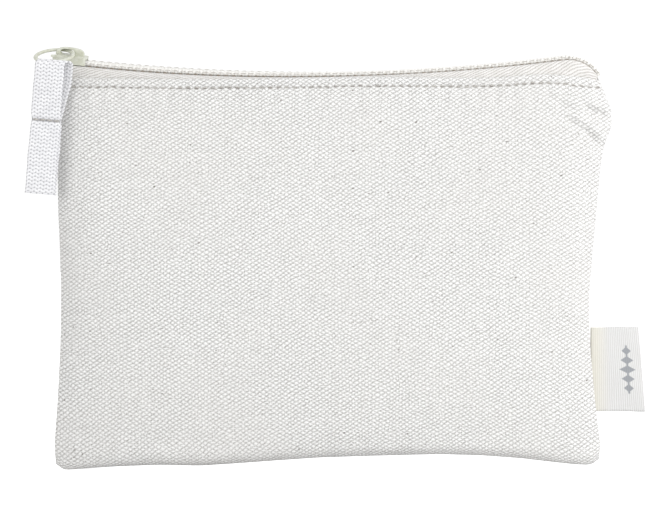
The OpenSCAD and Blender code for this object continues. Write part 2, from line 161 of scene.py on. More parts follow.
def canvas_points(face, phase):
    """Points of one panel's outer side, row by row from the bottom seam, under the base, up
    the wall, over the fold and down inside to the raw edge of the hem."""
    s = np.linspace(-1, 1, 2 * CANVAS_MIDDLE + 1)
    s = 0.35 * np.sin(np.pi / 2 * s) + 0.65 * s
    foot = BASE_R * (1 - np.cos(np.linspace(0, np.pi / 2, 7)))
    wall = np.linspace(BASE_R, CANVAS_H - FOLD_R, 146)[1:]
    turn = np.linspace(0, np.pi, 9)[1:]
    fold_z = CANVAS_H - FOLD_R + FOLD_R * np.sin(turn)
    fold_in = FOLD_R * (1 - np.cos(turn))
    inner_z = np.linspace(CANVAS_H - FOLD_R, HEM_FOOT, 9)[1:]
    under = np.linspace(0, 1, 8)[:-1]
    z = np.concatenate([0 * under, foot, wall, fold_z, inner_z])[:, None]
    share = np.concatenate([under, np.ones(len(z) - len(under))])[:, None]
    hem = np.concatenate([fold_in, np.full(len(inner_z), 2 * FOLD_R)])
    inward = np.concatenate([np.zeros(len(z) - len(hem)), hem])[:, None]
    s = s[None, :]
    half = side_edge(s, z)
    x = s * half
    gap = half * (1 - np.abs(s))
    k = np.clip(gap / 1.6, 0, 1)
    rim = 1.6 * np.sqrt(k * (2 - k))
    y = rim + (body_depth(z) - 1.6) * fullness(s, z) * share
    y = np.where(share < 1, y * share ** 0.5, y)
    relief = canvas_relief(x, z, gap, phase)
    if face == FRONT:
        relief = relief + crease(x, z, (95, 133), (106, 129.3), 1.7, 0.9)
        relief = relief + crease(x, z, (87.5, 128.5), (98, 122.4), 1.1, 1.1)
        relief = relief + crease(x, z, (96.5, 122), (103, 118.2), 1.2, 0.9)
        relief = relief + crease(x, z, (83, 135), (91, 130.5), 0.5, 1.3)
    y = y + relief * np.where(share < 1, 0, 1) * ease(gap / 2) - inward
    y = np.maximum(y, 0.02 * (gap > 0))
    x = x - np.sign(s) * 0.6 * bump_at(y, 0.55) * (gap < 3)
    corner = 2.2 * ease((6 - gap) / 6) ** 2
    z = z + hollow(x) * np.clip(1 - z / 55, 0, 1) ** 2 + corner * ease(1 - z / 9)
    wave, rise = hem_rise(x, phase)
    z = z + wave * ease((z - 120) / 20)
    z = z + rise * ease((z - 112) / 30)
    z = np.maximum(z, 0.05)
    points = np.stack(np.broadcast_arrays(x, face * y, z), axis=-1)
    steps = np.linalg.norm(np.diff(points, axis=0), axis=-1)
    middle = slice(CANVAS_MIDDLE - 45, CANVAS_MIDDLE + 45)
    mean_steps = np.concatenate([[0], steps[:, middle].mean(axis=1)])
    v = np.cumsum(mean_steps)[:, None] + 0 * x
    return points, np.stack([x, v], axis=-1)


def build_mesh(name, points, faces, material, uv=None):
    """A smooth mesh object from points in millimetres, faces as an array of quads or as a
    list, and a UV for each point."""
    mesh = bpy.data.meshes.new(name)
    faces = faces if isinstance(faces, list) else faces.tolist()
    mesh.from_pydata((points.reshape(-1, 3) * MM).tolist(), [], faces)
    if uv is not None:
        corners = np.zeros(len(mesh.loops), np.int32)
        mesh.loops.foreach_get("vertex_index", corners)
        layer = mesh.uv_layers.new(name="flat")
        layer.data.foreach_set("uv", (uv.reshape(-1, 2) * MM)[corners].astype(np.float32).ravel())
    mesh.materials.append(material)
    mesh.shade_smooth()
    made = bpy.data.objects.new(name, mesh)
    bpy.context.scene.collection.objects.link(made)
    return made


def grid_faces(rows, cols, flip=False, wrap=False):
    """Quads of a grid, in which columns crossed with rows point out, or in if flipped. A
    wrapped grid joins its last column to its first."""
    r = np.arange(rows - 1)[:, None]
    c = np.arange(cols if wrap else cols - 1)[None, :]
    n = (c + 1) % cols
    quads = np.stack(np.broadcast_arrays(
        r * cols + c, r * cols + n, (r + 1) * cols + n, (r + 1) * cols + c), axis=-1)
    quads = quads.reshape(-1, 4)
    return quads[:, ::-1] if flip else quads


def thicken(piece, thickness):
    """Gives a sheet its thickness, towards its inner side."""
    shell = piece.modifiers.new("thickness", "SOLIDIFY")
    shell.thickness = thickness * MM
    shell.offset = -1
    shell.use_even_offset = False
    return piece


def place(tree, kind, feeds=None, **settings):
    """Adds a shader node with its settings, and feeds its inputs with links or values."""
    made = tree.nodes.new(kind)
    for key, value in settings.items():
        setattr(made, key, value)
    for key, source in (feeds or {}).items():
        if isinstance(source, bpy.types.NodeSocket):
            tree.links.new(source, made.inputs[key])
        else:
            made.inputs[key].default_value = source
    return made


def calc(tree, operation, *values):
    """One step of arithmetic on sockets or numbers."""
    made = place(tree, "ShaderNodeMath", dict(enumerate(values)), operation=operation)
    return made.outputs[0]


def ramp(tree, value, low, high, out_low=0.0, out_high=1.0):
    """A value carried from one range to another, with no overshoot."""
    feeds = {0: value, 1: low, 2: high, 3: out_low, 4: out_high}
    return place(tree, "ShaderNodeMapRange", feeds).outputs[0]


def mix_colour(tree, share, first, second):
    """The first colour goes over to the second as share goes from 0 to 1."""
    made = place(tree, "ShaderNodeMix", {0: share, 6: first, 7: second}, data_type="RGBA")
    return made.outputs[2]


def noise(tree, vector, scale, detail=2.0, roughness=0.5):
    """Soft random values about 0.5, with features of one unit at scale 1."""
    feeds = {"Vector": vector, "Scale": scale, "Detail": detail, "Roughness": roughness}
    return place(tree, "ShaderNodeTexNoise", feeds).outputs[0]


def tone(red, green, blue):
    """A display colour, 0 to 255, as the linear colour a shader takes."""
    c = np.array([red, green, blue]) / 255
    linear = np.where(c <= 0.04045, c / 12.92, ((c + 0.055) / 1.055) ** 2.4)
    return (*linear.tolist(), 1.0)


def new_group(name, inputs, outputs):
    """An empty node group with float or vector sockets. It returns its tree and its two
    end nodes."""
    tree = bpy.data.node_groups.new(name, "ShaderNodeTree")
    for key, value in inputs.items():
        kind = "NodeSocketVector" if value is None else "NodeSocketFloat"
        made = tree.interface.new_socket(key, in_out="INPUT", socket_type=kind)
        if value is not None:
            made.default_value = value
    for key in outputs:
        tree.interface.new_socket(key, in_out="OUTPUT", socket_type="NodeSocketFloat")
    return tree, tree.nodes.new("NodeGroupInput"), tree.nodes.new("NodeGroupOutput")


def weave_group():
    """Plain weave. The crests of two crossing waves, one for each diagonal of the yarns,
    make one bump for every second crossing. Yarns differ in width and in shade."""
    tree, ins, outs = new_group(
        "plain weave",
        {"Place": None, "Warp pitch": 1.22, "Weft pitch": 0.755, "Slant": 0.62},
        ["Height", "Gap", "Shade"])
    wander = noise(tree, ins.outputs["Place"], 0.11, 3.0)
    jitter = noise(tree, ins.outputs["Place"], 0.9, 1.0)
    parts = place(tree, "ShaderNodeSeparateXYZ", {0: ins.outputs["Place"]})
    off = calc(tree, "MULTIPLY_ADD", wander, 2.6, calc(tree, "MULTIPLY", jitter, 0.55))
    across = calc(tree, "DIVIDE", calc(tree, "ADD", parts.outputs[0], off),
                  ins.outputs["Warp pitch"])
    lift = calc(tree, "MULTIPLY_ADD", noise(tree, ins.outputs["Place"], 0.16, 3.0), 1.5,
                calc(tree, "MULTIPLY", jitter, -0.4))
    up = calc(tree, "DIVIDE", calc(tree, "ADD", parts.outputs[1], lift),
              ins.outputs["Weft pitch"])
    waves = []
    for sign in ("SUBTRACT", "ADD"):
        phase = calc(tree, "MULTIPLY", calc(tree, sign, across, up), np.pi)
        waves.append(calc(tree, "MULTIPLY_ADD", calc(tree, "COSINE", phase), 0.5, 0.5))
    share = ins.outputs["Slant"]
    rest = calc(tree, "SUBTRACT", 1.0, share)
    height = calc(tree, "MULTIPLY_ADD", waves[0], share, calc(tree, "MULTIPLY", waves[1], rest))
    yarns = []
    for source in (across, up):
        row = calc(tree, "FLOOR", source)
        along = parts.outputs[1] if source is across else parts.outputs[0]
        spot = place(tree, "ShaderNodeCombineXYZ",
                     {0: calc(tree, "MULTIPLY", row, 7.31), 1: calc(tree, "MULTIPLY", along, 0.05),
                      2: 3.0 if source is across else 9.0})
        yarns.append(noise(tree, spot.outputs[0], 1.0, 2.0))
    yarn = calc(tree, "MULTIPLY", calc(tree, "ADD", yarns[0], yarns[1]), 0.5)
    thick = calc(tree, "MULTIPLY_ADD", yarn, 0.5, -0.25)
    fuzz = calc(tree, "MULTIPLY_ADD", noise(tree, ins.outputs["Place"], 2.2, 2.0), 0.7, -0.35)
    height = calc(tree, "ADD", calc(tree, "ADD", height, thick), fuzz)
    furrows = []
    for wave, depth in zip(waves, (1.0, 0.8)):
        trough = calc(tree, "POWER", calc(tree, "SUBTRACT", 1.0, wave), 2.4)
        furrows.append(calc(tree, "MULTIPLY", trough, depth))
    gap = calc(tree, "MAXIMUM", furrows[0], furrows[1])
    gap = calc(tree, "MULTIPLY", gap, ramp(tree, fuzz, -0.18, 0.16, 1.6, 0.15))
    tree.links.new(height, outs.inputs["Height"])
    tree.links.new(gap, outs.inputs["Gap"])
    tree.links.new(yarn, outs.inputs["Shade"])
    return tree


def fleck_group():
    """Bits of seed husk spun into the yarn: one spot in each cell of a random pattern, of
    which only some are dark enough to show."""
    tree, ins, outs = new_group("seed flecks", {"Place": None, "Spacing": 5.0, "Size": 0.06},
                                ["Fleck"])
    spread = place(tree, "ShaderNodeVectorMath", {0: ins.outputs["Place"], 1: (1.0, 1.5, 1.0)},
                   operation="MULTIPLY")
    bend = noise(tree, ins.outputs["Place"], 1.2, 1.0)
    moved = place(tree, "ShaderNodeVectorMath", {0: spread.outputs[0], 1: bend}, operation="ADD")
    scale = calc(tree, "DIVIDE", 1.0, ins.outputs["Spacing"])
    cells = place(tree, "ShaderNodeTexVoronoi", {"Vector": moved.outputs[0], "Scale": scale})
    pick = place(tree, "ShaderNodeSeparateColor", {0: cells.outputs["Color"]})
    size = calc(tree, "MULTIPLY", ins.outputs["Size"], ramp(tree, pick.outputs[0], 0.35, 1.0))
    near = calc(tree, "SUBTRACT", size, cells.outputs["Distance"])
    shown = ramp(tree, near, 0.0, 0.02)
    dark = calc(tree, "MULTIPLY", shown, ramp(tree, pick.outputs[1], 0.0, 1.0, 0.35, 1.0))
    tree.links.new(dark, outs.inputs["Fleck"])
    return tree


WEAVE = weave_group()
FLECKS = fleck_group()


def flat_place(tree):
    """The place on the flat pattern, in millimetres."""
    uv = place(tree, "ShaderNodeUVMap", uv_map="flat")
    grown = place(tree, "ShaderNodeVectorMath", {0: uv.outputs[0], "Scale": 1000.0},
                  operation="SCALE")
    return grown.outputs[0]


def solid_place(tree):
    """The place in the object, in millimetres."""
    where = place(tree, "ShaderNodeTexCoord").outputs["Object"]
    grown = place(tree, "ShaderNodeVectorMath", {0: where, "Scale": 1000.0}, operation="SCALE")
    return grown.outputs[0]


def new_material(name):
    """A material with a Principled shader. It returns the material, its tree and shader."""
    material = bpy.data.materials.new(name)
    material.use_nodes = True
    tree = material.node_tree
    return material, tree, tree.nodes["Principled BSDF"]


def fabric_finish(shader, roughness, sheen, gloss):
    """The dull, slightly downy surface of cloth and thread."""
    shader.inputs["Roughness"].default_value = roughness
    shader.inputs["Sheen Weight"].default_value = sheen
    shader.inputs["Specular IOR Level"].default_value = gloss


def use_bump(tree, shader, height, distance):
    """Feeds the shader's normal with a relief whose height is 1 at this distance in mm."""
    made = place(tree, "ShaderNodeBump", {"Height": height, "Distance": distance * MM})
    tree.links.new(made.outputs[0], shader.inputs["Normal"])


def canvas_material(stitch_v):
    """Undyed canvas: cream yarns, painted shade in the gaps between them, brown flecks, faint
    random patches of painted shade, and painted shade at the needle holes of the hem, at
    their height on the flat pattern."""
    material, tree, shader = new_material("canvas")
    spot = flat_place(tree)
    weave = place(tree, "ShaderNodeGroup", {"Place": spot}, node_tree=WEAVE)
    flecks = place(tree, "ShaderNodeGroup", {"Place": spot, "Spacing": 3.3, "Size": 0.13},
                   node_tree=FLECKS)
    yarn = mix_colour(tree, ramp(tree, weave.outputs["Shade"], 0.3, 0.7),
                      tone(242, 242, 241), tone(252, 252, 251))
    # Painted shade: the gaps between the yarns are darkened, where shade falls in them.
    cloth = mix_colour(tree, calc(tree, "MULTIPLY", weave.outputs["Gap"], 0.85),
                       yarn, tone(155, 152, 149))
    # Painted shade: faint random patches darkened to grey beige, standing in for soft shade on the
    # canvas.
    painted_shade_cloud = ramp(tree, noise(tree, spot, 0.022, 3.0), 0.42, 0.68)
    cloth = mix_colour(tree, calc(tree, "MULTIPLY", painted_shade_cloud, 0.2), cloth, tone(222, 219, 215))
    cloth = mix_colour(tree, flecks.outputs[0], cloth, tone(92, 82, 74))
    # Painted shade: the hem's row of stitches is darkened in dashes, at the needle holes and under
    # the thread.
    parts = place(tree, "ShaderNodeSeparateXYZ", {0: spot})
    sway = calc(tree, "MULTIPLY_ADD", noise(tree, spot, 0.35, 2.0), 1.2, stitch_v - 0.6)
    row = ramp(tree, calc(tree, "ABSOLUTE", calc(tree, "SUBTRACT", parts.outputs[1], sway)),
               0.6, 0.15)
    beat = calc(tree, "COSINE", calc(tree, "MULTIPLY", parts.outputs[0], 2 * np.pi / STITCH_PITCH))
    beat = calc(tree, "MULTIPLY_ADD", noise(tree, spot, 0.5, 2.0), 2.4, beat)
    stitch_hole_shade = calc(tree, "MULTIPLY", row, ramp(tree, beat, 0.4, 1.8, 0.15, 0.75))
    cloth = mix_colour(tree, stitch_hole_shade, cloth, tone(128, 121, 114))
    tree.links.new(cloth, shader.inputs["Base Color"])
    fabric_finish(shader, 0.92, 0.12, 0.25)
    use_bump(tree, shader, weave.outputs["Height"], 0.24)
    return material


points, flat = canvas_points(FRONT, 0.0)
column = CANVAS_WALL, CANVAS_MIDDLE
CANVAS = canvas_material(np.interp(STITCH_ROW, points[column][:, 2], flat[column][:, 1]))
for name, face, phase in (("canvas_front", FRONT, 0.0), ("canvas_back", BACK, 2.1)):
    points, flat = canvas_points(face, phase)
    faces = grid_faces(*points.shape[:2], flip=face == BACK)
    panel = thicken(build_mesh(name, points, faces, CANVAS, flat), CANVAS_T)
    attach(panel, "root")
    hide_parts(name.split("_")[1] + "_panel")

# ---- Hem topstitching ----
# A lockstitch of cotton thread through the hem and the zip tape behind it. Each stitch is a
# short rounded run of thread that dips into the canvas at both ends.
THREAD_D = 0.45


def stitch_run(starts, ends, out, thread, sink):
    """Stitches from start to end: a half sine of thread that stands out in its middle by
    its own radius and sinks at its ends. Rings of six points, closed by a point each end."""
    t = np.linspace(0, 1, 9)[None, :, None]
    along = ends - starts
    line = starts[:, None, :] + along[:, None, :] * t
    line = line + out[:, None, :] * (np.sin(np.pi * t) * (sink + 0.2 * thread) - sink)
    girth = thread / 2 * np.clip(np.sin(np.pi * (0.06 + 0.88 * t)), 0, 1) ** 0.35
    turn = 2 * np.pi * np.arange(6) / 6
    along = along / np.linalg.norm(along, axis=-1, keepdims=True)
    wide = np.cross(along, out)
    ring = (wide[:, None, None, :] * np.cos(turn)[None, None, :, None]
            + out[:, None, None, :] * np.sin(turn)[None, None, :, None])
    return line[:, :, None, :] + ring * girth[..., None]


def stitch_mesh(name, starts, ends, out, thread, sink, material):
    """All the stitches of one row as one mesh of closed runs."""
    rings = stitch_run(starts, ends, out, thread, sink)
    count, rows, sides = rings.shape[:3]
    quads = grid_faces(rows, sides, wrap=True)
    step = (np.arange(count) * rows * sides)[:, None, None]
    faces = (quads[None] + step).reshape(-1, 4).tolist()
    foot = np.arange(sides)
    for k in range(count):
        base = k * rows * sides
        faces.append((base + foot[::-1]).tolist())
        faces.append((base + (rows - 1) * sides + foot).tolist())
    return build_mesh(name, rings, faces, material)


def thread_material(name, light, dark):
    """Twisted thread: a fine slanting ply relief, with painted shade in the valley between plies.
    """
    material, tree, shader = new_material(name)
    spot = solid_place(tree)
    parts = place(tree, "ShaderNodeSeparateXYZ", {0: spot})
    sum_xz = calc(tree, "ADD", parts.outputs[0], calc(tree, "MULTIPLY", parts.outputs[2], 1.7))
    phase = calc(tree, "MULTIPLY", calc(tree, "ADD", sum_xz, parts.outputs[1]), 13.0)
    ply = calc(tree, "MULTIPLY_ADD", calc(tree, "SINE", phase), 0.5, 0.5)
    fuzz = noise(tree, spot, 3.0, 2.0)
    height = calc(tree, "MULTIPLY_ADD", fuzz, 0.6, ply)
    # Painted shade: the dark colour goes where the ply relief is low.
    tree.links.new(mix_colour(tree, ramp(tree, height, 0.2, 1.1), dark, light),
                   shader.inputs["Base Color"])
    fabric_finish(shader, 0.75, 0.15, 0.5)
    use_bump(tree, shader, height, 0.06)
    return material


THREAD = thread_material("cotton thread", tone(222, 219, 214), tone(140, 134, 126))


def hem_surface(x, face):
    """Points on the hem at the height of its row of stitches."""
    z = np.full_like(x, STITCH_ROW)
    half = side_edge(np.sign(x), z)
    s = x / half
    y = body_depth(z) * fullness(s, z) + 1.6 * (1 - fullness(s, z))
    return np.stack([x, face * (y - 0.1), z + sum(hem_rise(x, 0))], axis=-1)


for name, face in (("front_topstitch_thread", FRONT), ("back_topstitch_thread", BACK)):
    x = np.arange(-93, 95, STITCH_PITCH, dtype=float)
    wander = 0.18 * np.sin(x * 1.7) + 0.1 * np.sin(x * 4.3)
    starts = hem_surface(x - 1.05, face) + np.stack([0 * x, 0 * x, wander], axis=-1)
    ends = hem_surface(x + 1.05, face) + np.stack([0 * x, 0 * x, 0.7 * wander], axis=-1)
    out = np.tile([0.0, face, 0.0], (len(x), 1))
    row = stitch_mesh(name, starts, ends, out, THREAD_D, 0.3, THREAD)
    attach(row, "root")
    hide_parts(name.replace("_thread", ""))

# ---- Zip line ----
# The zip lies on a long sagging arc that turns down into the right corner. Its tapes lean
# towards the front, so its parts are placed along it, across it, and above its tape.
LINE_R = 760
LINE_X0 = -9
LINE_Z0 = 145.0
CORNER_X = 86.8
CORNER_R = 13
CORNER_TURN = np.radians(68)
LEAN = np.radians(12)
SLIDER_X = -95.5
SLIDER_TURN = np.arcsin((SLIDER_X - LINE_X0) / LINE_R)
SLIDER_S = LINE_R * SLIDER_TURN
CORNER_S = LINE_R * np.arcsin((CORNER_X - LINE_X0) / LINE_R)
END_S = CORNER_S + CORNER_R * CORNER_TURN
COIL_W = 2.9
COIL_H = 1.86
TAPE_T = 0.5


def zip_line(s):
    """Point and slope at a distance s along the zip: a large circle, then a small one that
    turns the other way."""
    a = np.minimum(s, CORNER_S) / LINE_R
    b = a - np.maximum(s - CORNER_S, 0) / CORNER_R
    x = LINE_X0 + LINE_R * np.sin(a) + CORNER_R * (np.sin(a) - np.sin(b))
    z = LINE_Z0 + LINE_R * (1 - np.cos(a)) + CORNER_R * (np.cos(b) - np.cos(a))
    return x, z, b


def on_zip(s, across, above):
    """A point beside the zip line. The zip leans to the front most at the slider, and
    stands nearly level past the middle."""
    x, z, slope = zip_line(s)
    lean = LEAN - np.radians(9) * ease((x + 80) / 110)
    y = across * np.cos(lean) - above * np.sin(lean)
    up = across * np.sin(lean) + above * np.cos(lean)
    return np.stack(np.broadcast_arrays(
        x - up * np.sin(slope), y, z + up * np.cos(slope)), axis=-1)


def coil_middle(s):
    """Distance of a row of coils from the zip line. Inside the slider's nose it grows."""
    return 0.05 + COIL_W / 2 + 1.25 * ease((SLIDER_S + 1.5 - s) / 6)


# ---- Zip tapes ----
# Two tapes of twill-woven cotton. Each is flat under its coils, then turns down inside the
# hem, where the topstitching holds it.
def bezier(a, b, c, d, t):
    """A cubic curve from a to d, pulled towards b and c."""
    return (1 - t) ** 3 * a + 3 * t * (1 - t) ** 2 * b + 3 * t ** 2 * (1 - t) * c + t ** 3 * d


def tape_points(face):
    """Points of a tape's outer side, in rows from the coils down to the edge in the hem."""
    s = np.concatenate([np.linspace(SLIDER_S - 5, SLIDER_S - 1, 6)[:-1],
                        np.linspace(SLIDER_S - 1, CORNER_S, 150),
                        np.linspace(CORNER_S, END_S, 14)[1:]])
    inner = on_zip(s, face * (coil_middle(s) - 0.15), 0)
    edge = on_zip(s, face * 5.0, 0)
    out = edge - on_zip(s, face * 2.8, 0)
    x = np.clip(zip_line(s)[0], -98.6, 94)
    half = side_edge(np.sign(x), np.full_like(x, 142.0))
    depth = np.maximum(1.2, (7.5 - 1.6) * fullness(x / half, 142.0) - 0.2)
    foot = np.stack([x, face * depth, np.full_like(x, 134.0)], axis=-1)
    t = np.linspace(0, 1, 5)[:, None, None]
    flat = inner + (edge - inner) * t
    u = np.linspace(0, 1, 17)[1:, None, None]
    hang = bezier(edge, edge + out, foot + np.array([0, 0, 7]), foot, u)
    points = np.concatenate([flat, hang])
    wave = 0.12 * np.sin(s / 3.1) + 0.1 * np.sin(s / 7.7 + 1)
    points[5:, :, 1] += face * wave * np.sin(np.pi * np.linspace(0, 1, 16))[:, None]
    gaps = np.linalg.norm(np.diff(points, axis=0), axis=-1).mean(axis=1)
    v = np.concatenate([[0], np.cumsum(gaps)])[:, None] + 0 * s
    return points, np.stack([s + 0 * v, -v], axis=-1)


def twill_group():
    """Twill: raised slanting lines, each broken where a yarn crosses it."""
    tree, ins, outs = new_group("twill", {"Place": None, "Pitch": 0.88, "Slope": 0.36,
                                          "Break": 0.6}, ["Height", "Gap"])
    spot = ins.outputs["Place"]
    parts = place(tree, "ShaderNodeSeparateXYZ", {0: spot})
    wander = calc(tree, "MULTIPLY_ADD", noise(tree, spot, 0.25, 2.0), 1.2, parts.outputs[1])
    slant = calc(tree, "SUBTRACT", wander,
                 calc(tree, "MULTIPLY", parts.outputs[0], ins.outputs["Slope"]))
    phase = calc(tree, "MULTIPLY", calc(tree, "DIVIDE", slant, ins.outputs["Pitch"]), 2 * np.pi)
    line = calc(tree, "MULTIPLY_ADD", calc(tree, "SINE", phase), 0.5, 0.5)
    cross = calc(tree, "MULTIPLY", calc(tree, "DIVIDE", parts.outputs[0], ins.outputs["Break"]),
                 2 * np.pi)
    step = calc(tree, "MULTIPLY_ADD", calc(tree, "SINE", cross), 0.18, 0.18)
    height = calc(tree, "SUBTRACT", line, step)
    height = calc(tree, "MULTIPLY_ADD", noise(tree, spot, 2.4, 2.0), 0.35, height)
    tree.links.new(height, outs.inputs["Height"])
    tree.links.new(ramp(tree, height, 0.45, 0.05), outs.inputs["Gap"])
    return tree


TWILL = twill_group()


def tape_material():
    """Cream twill with painted brown shade between its slanting lines."""
    material, tree, shader = new_material("zip tape")
    spot = flat_place(tree)
    twill = place(tree, "ShaderNodeGroup", {"Place": spot}, node_tree=TWILL)
    cloth = mix_colour(tree, ramp(tree, noise(tree, spot, 0.3, 2.0), 0.35, 0.65),
                       tone(238, 236, 234), tone(229, 227, 224))
    # Painted shade: darker in the valleys between the raised twill lines.
    cloth = mix_colour(tree, calc(tree, "MULTIPLY", twill.outputs["Gap"], 0.55),
                       cloth, tone(148, 142, 134))
    tree.links.new(cloth, shader.inputs["Base Color"])
    fabric_finish(shader, 0.85, 0.15, 0.3)
    use_bump(tree, shader, twill.outputs["Height"], 0.14)
    return material


TAPE = tape_material()
for name, face in (("front_zip_tape", FRONT), ("back_zip_tape", BACK)):
    points, flat = tape_points(face)
    faces = grid_faces(*points.shape[:2], flip=face == FRONT)
    tape = thicken(build_mesh(name, points, faces, TAPE, flat), TAPE_T)
    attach(tape, "root")
    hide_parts(name.replace("_zip", ""))

# ---- Coils ----
# Each row is one polyester monofilament wound round a cord. Its turns hook into those of
# the other row, and two threads sew it to the tape.
COIL_PITCH = 1.3
WIRE = 0.62


def tube(path, outward, half_wide, half_high, sides, square=1.0):
    """Rings of points round a path: an oval, high along the outward direction and wide
    across it. With a square below 1 its cosine and sine take that power, and fill out."""
    along = np.gradient(path, axis=0)
    along = along / np.linalg.norm(along, axis=-1, keepdims=True)
    high = outward - along * (outward * along).sum(axis=-1, keepdims=True)
    high = high / np.linalg.norm(high, axis=-1, keepdims=True)
    wide = np.cross(along, high)
    turn = 2 * np.pi * np.arange(sides) / sides
    cos, sin = (np.sign(f) * np.abs(f) ** square for f in (np.cos(turn), np.sin(turn)))
    return (path[:, None] + wide[:, None] * half_wide * cos[None, :, None]
            + high[:, None] * half_high * sin[None, :, None])


def tube_mesh(name, rings, material, closed=False):
    """A mesh of a tube's rings, closed on itself or by its two end rings."""
    count, sides = rings.shape[:2]
    if closed:
        quads = grid_faces(count + 1, sides, wrap=True) % (count * sides)
        return build_mesh(name, rings, quads, material)
    quads = grid_faces(count, sides, wrap=True).tolist()
    foot = np.arange(sides)
    quads.append(foot[::-1].tolist())
    quads.append((foot + (count - 1) * sides).tolist())
    return build_mesh(name, rings, quads, material)


def coil_rings(face):
    """A flattened helix: it goes once round an oval for each pitch along the zip."""
    turns = int((END_S - SLIDER_S + 4.4) / COIL_PITCH)
    a = np.linspace(0, 2 * np.pi * turns, turns * 14 + 1)
    shift = 0 if face == FRONT else np.pi
    s = SLIDER_S - 4.4 + COIL_PITCH * a / (2 * np.pi)
    cos, sin = np.cos(a + shift), np.sin(a + shift)
    wide = (COIL_W - WIRE) / 2 * np.sign(cos) * np.abs(cos) ** 0.75
    high = (COIL_H - WIRE) / 2 * np.sign(sin) * np.abs(sin) ** 0.75
    path = on_zip(s, face * (coil_middle(s) + wide), 0.04 + COIL_H / 2 + high)
    centre = on_zip(s, face * coil_middle(s), 0.04 + COIL_H / 2)
    return tube(path, path - centre, 0.645, WIRE / 2, 12, 0.6)


def coil_material():
    """Dyed monofilament: smooth, with a soft gloss."""
    material, tree, shader = new_material("coil")
    spot = solid_place(tree)
    shade = ramp(tree, noise(tree, spot, 0.9, 3.0), 0.35, 0.7)
    tree.links.new(mix_colour(tree, shade, tone(243, 242, 239), tone(232, 230, 225)),
                   shader.inputs["Base Color"])
    tree.links.new(ramp(tree, shade, 0.0, 1.0, 0.38, 0.52), shader.inputs["Roughness"])
    use_bump(tree, shader, noise(tree, spot, 6.0, 2.0), 0.02)
    return material


COIL = coil_material()
BROWN_THREAD = thread_material("coil thread", tone(170, 157, 143), tone(112, 98, 84))
GREY_THREAD = thread_material("coil top thread", tone(208, 204, 198), tone(172, 165, 157))
for side_name, face in (("front", FRONT), ("back", BACK)):
    coil = tube_mesh(side_name + "_coil_spiral", coil_rings(face), COIL)
    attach(coil, "root")
    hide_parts(side_name + "_coil")
    s = np.arange(SLIDER_S - 4.2, END_S - 3.4, 2.8)
    up = on_zip(s, 0, 1) - on_zip(s, 0, 0)
    lean_out = on_zip(s, face * 0.6, 0.8) - on_zip(s, 0, 0)
    edge_a = on_zip(s, face * (coil_middle(s) + 1.55), 0.15)
    edge_b = on_zip(s + 1.7, face * (coil_middle(s + 1.7) + 1.55), 0.15)
    row = stitch_mesh(side_name + "_coil_edge_thread", edge_a, edge_b, lean_out, 0.5, 0.25,
                      BROWN_THREAD)
    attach(row, "root")
    away, rise = (1.4, 1.2) if face == FRONT else (0.75, COIL_H + 0.02)
    top_a = on_zip(s + 0.5, face * (coil_middle(s) + away), rise)
    top_b = on_zip(s + 2.9, face * (coil_middle(s + 2.4) + away), rise)
    row = stitch_mesh(side_name + "_coil_top_thread", top_a, top_b,
                      lean_out if face == FRONT else up, 0.24, 0.14, GREY_THREAD)
    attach(row, "root")
    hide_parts(side_name + "_coil_stitch")

# ---- Slider ----
# Die-cast zinc, painted cream: two plates joined by a wedge at the nose, with flanges that
# press the coils together. A stamped crown is clipped over its eye.
SLIDER_L = 12.6
SLIDER_W = 10.8
PLATE_T = 0.9
TOP_PLATE = 2.4
FLANGE_FOOT = 0.3
LOW_PLATE = -0.8
PLATE_TOP = TOP_PLATE + PLATE_T


def at_slider(points):
    """Carries points from the slider's own frame, x along the zip, y across it and z above
    its tape, to where it stands."""
    x, z, _ = zip_line(SLIDER_S)
    turn = -SLIDER_TURN
    about_y = np.array([[np.cos(turn), 0, np.sin(turn)], [0, 1, 0],
                        [-np.sin(turn), 0, np.cos(turn)]])
    about_x = np.array([[1, 0, 0], [0, np.cos(LEAN), -np.sin(LEAN)],
                        [0, np.sin(LEAN), np.cos(LEAN)]])
    return points @ (about_y @ about_x).T + np.array([x, 0, z])


def slab(outline, low, high, crown=0.0):
    """A closed prism on an outline, whose top rises towards the middle by the crown."""
    outline = np.array(outline, float)
    count = len(outline)
    middle = outline.mean(axis=0)
    shares = [0.0, 0.55, 0.85, 1.0]
    tops = [np.column_stack([middle + (outline - middle) * k,
                             np.full(count, high + crown * (1 - k ** 2))]) for k in shares[::-1]]
    foot = np.column_stack([outline, np.full(count, low)])
    rings = np.stack([foot] + tops[:-1])
    quads = grid_faces(len(rings), count, wrap=True).tolist()
    tip = len(rings) * count
    last = tip - count
    fan = [[last + k, last + (k + 1) % count, tip] for k in range(count)]
    points = np.concatenate([rings.reshape(-1, 3), tops[-1][:1]])
    return points, quads + fan + [list(range(count))[::-1]]


def mirrored(half):
    """A closed outline from its half on one side of the x axis, run anticlockwise."""
    return [(x, -y) for x, y in half] + half[::-1]


def plate_outline(nose, back):
    """A slider plate from above: a broad rounded nose, straight flanks that draw in, and a
    narrow rounded back."""
    e = SLIDER_L / 2
    turn = np.linspace(0, np.pi / 2, 6)
    front = [(-e + 2.2 * (1 - np.sin(a)), nose - 2.0 * (1 - np.sin(a))) for a in turn]
    tail = [(e - 0.9 + 0.9 * np.sin(a), back - 0.9 * (1 - np.cos(a))) for a in turn]
    return mirrored(front + [(-2, nose), (3, back)] + tail)


def joined_mesh(name, solids, material):
    """Several closed solids, each a list of points and faces, as one mesh."""
    points, faces, start = [], [], 0
    for solid_points, solid_faces in solids:
        points.append(solid_points)
        faces += [[k + start for k in face] for face in solid_faces]
        start += len(solid_points)
    return build_mesh(name, at_slider(np.concatenate(points)), faces, material)


def round_edges(piece, width):
    """Rounds the sharp edges of a piece."""
    bevel = piece.modifiers.new("rounded", "BEVEL")
    bevel.width = width * MM
    bevel.segments = 3
    bevel.limit_method = "ANGLE"
    bevel.angle_limit = np.radians(35)
    bevel.harden_normals = True
    return piece


